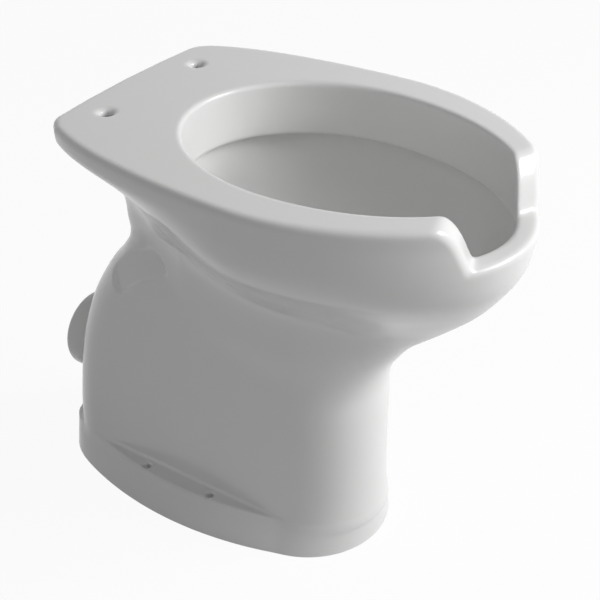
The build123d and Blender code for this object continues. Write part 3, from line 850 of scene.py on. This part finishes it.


# The second copy of the china is darker: painted shade for the parts inside the bowl, under the rim and in
# the trapway
MATERIALS = {
    "glazed_china": china_material("glazed_china", (0.80, 0.80, 0.795), 0.93),
    "glazed_china_inner": china_material("glazed_china_inner", (0.77, 0.77, 0.765), 0.92),
}
for piece, node, slot in REPLACED:
    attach(piece, "root")
    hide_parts(node)
    piece.data.materials.append(MATERIALS[slot])

SHOWN_NODES = ("channel_stops", "flush_divider", "trapway_riser", "trapway_fall")
# these inner parts also take the darker copy of the china, which is painted shade
for name in SHOWN_NODES:
    for material_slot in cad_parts[name].material_slots:
        material_slot.material = MATERIALS["glazed_china_inner"]


def camera_share(tree, white, shade):
    """A shader that is mostly plain white to the camera and in reflections, and shade otherwise."""
    nodes, links = tree.nodes, tree.links
    path = nodes.new("ShaderNodeLightPath")
    seen = nodes.new("ShaderNodeMath")
    seen.operation = "MAXIMUM"
    links.new(path.outputs["Is Camera Ray"], seen.inputs[0])
    links.new(path.outputs["Is Glossy Ray"], seen.inputs[1])
    seen_too = nodes.new("ShaderNodeMath")
    seen_too.operation = "MAXIMUM"
    links.new(seen.outputs["Value"], seen_too.inputs[0])
    links.new(path.outputs["Is Transmission Ray"], seen_too.inputs[1])
    share = nodes.new("ShaderNodeMath")
    share.operation = "MULTIPLY"
    share.inputs[1].default_value = white[1]
    links.new(seen_too.outputs["Value"], share.inputs[0])
    mix = nodes.new("ShaderNodeMixShader")
    links.new(share.outputs["Value"], mix.inputs["Fac"])
    links.new(shade, mix.inputs[1])
    links.new(white[0], mix.inputs[2])
    return mix.outputs["Shader"]


def make_world():
    world = bpy.data.worlds.new("studio")
    world.use_nodes = True
    tree = world.node_tree
    tree.nodes.clear()
    dim = tree.nodes.new("ShaderNodeBackground")
    direction = tree.nodes.new("ShaderNodeTexCoord")
    height = tree.nodes.new("ShaderNodeSeparateXYZ")
    strength = tree.nodes.new("ShaderNodeMapRange")
    strength.inputs["To Min"].default_value = HORIZON_STRENGTH
    strength.inputs["To Max"].default_value = ZENITH_STRENGTH
    tree.links.new(direction.outputs["Generated"], height.inputs["Vector"])
    tree.links.new(height.outputs["Z"], strength.inputs["Value"])
    tree.links.new(strength.outputs["Result"], dim.inputs["Strength"])
    white = tree.nodes.new("ShaderNodeBackground")
    white.inputs["Color"].default_value = (1, 1, 1, 1)
    white.inputs["Strength"].default_value = 1.0
    output = tree.nodes.new("ShaderNodeOutputWorld")
    shader = camera_share(tree, (white.outputs["Background"], 1.0), dim.outputs["Background"])
    tree.links.new(shader, output.inputs["Surface"])
    bpy.context.scene.world = world


def make_floor():
    material = bpy.data.materials.new("studio_floor")
    material.use_nodes = True
    tree = material.node_tree
    tree.nodes.clear()
    matt = tree.nodes.new("ShaderNodeBsdfDiffuse")
    matt.inputs["Color"].default_value = (*FLOOR_COLOR, 1)
    white = tree.nodes.new("ShaderNodeEmission")
    white.inputs["Strength"].default_value = FLOOR_WHITE
    output = tree.nodes.new("ShaderNodeOutputMaterial")
    shader = camera_share(tree, (white.outputs["Emission"], FLOOR_WHITE_SHARE), matt.outputs["BSDF"])
    tree.links.new(shader, output.inputs["Surface"])
    mesh = bpy.data.meshes.new("studio_floor")
    rim_points_3d = [
        (FLOOR_RADIUS * math.cos(2 * math.pi * k / 64), FLOOR_RADIUS * math.sin(2 * math.pi * k / 64), 0.0)
        for k in range(64)
    ]
    mesh.from_pydata(rim_points_3d, [], [list(range(64))])
    mesh.materials.append(material)
    floor = bpy.data.objects.new("studio_floor", mesh)
    bpy.context.scene.collection.objects.link(floor)


def area_lamp(name, place, target, size, power):
    data = bpy.data.lights.new(name, "AREA")
    data.shape = "RECTANGLE"
    data.size, data.size_y = size
    data.energy = power
    lamp = bpy.data.objects.new(name, data)
    lamp.location = place
    aim = Vector(target) - Vector(place)
    lamp.rotation_mode = "QUATERNION"
    lamp.rotation_quaternion = aim.to_track_quat("-Z", "Y")
    bpy.context.scene.collection.objects.link(lamp)


HORIZON_STRENGTH, ZENITH_STRENGTH = 0.60, 0.12
FLOOR_COLOR = (0.5, 0.5, 0.5)
FLOOR_WHITE = 1.06
FLOOR_WHITE_SHARE = 0.88
FLOOR_RADIUS = 6.0
make_world()
make_floor()
area_lamp("key", (1.10, -2.05, 1.75), (0.0, -0.05, 0.30), (1.5, 1.2), 64.0)

bpy.context.scene.view_settings.view_transform = "Standard"
bpy.context.view_layer.update()
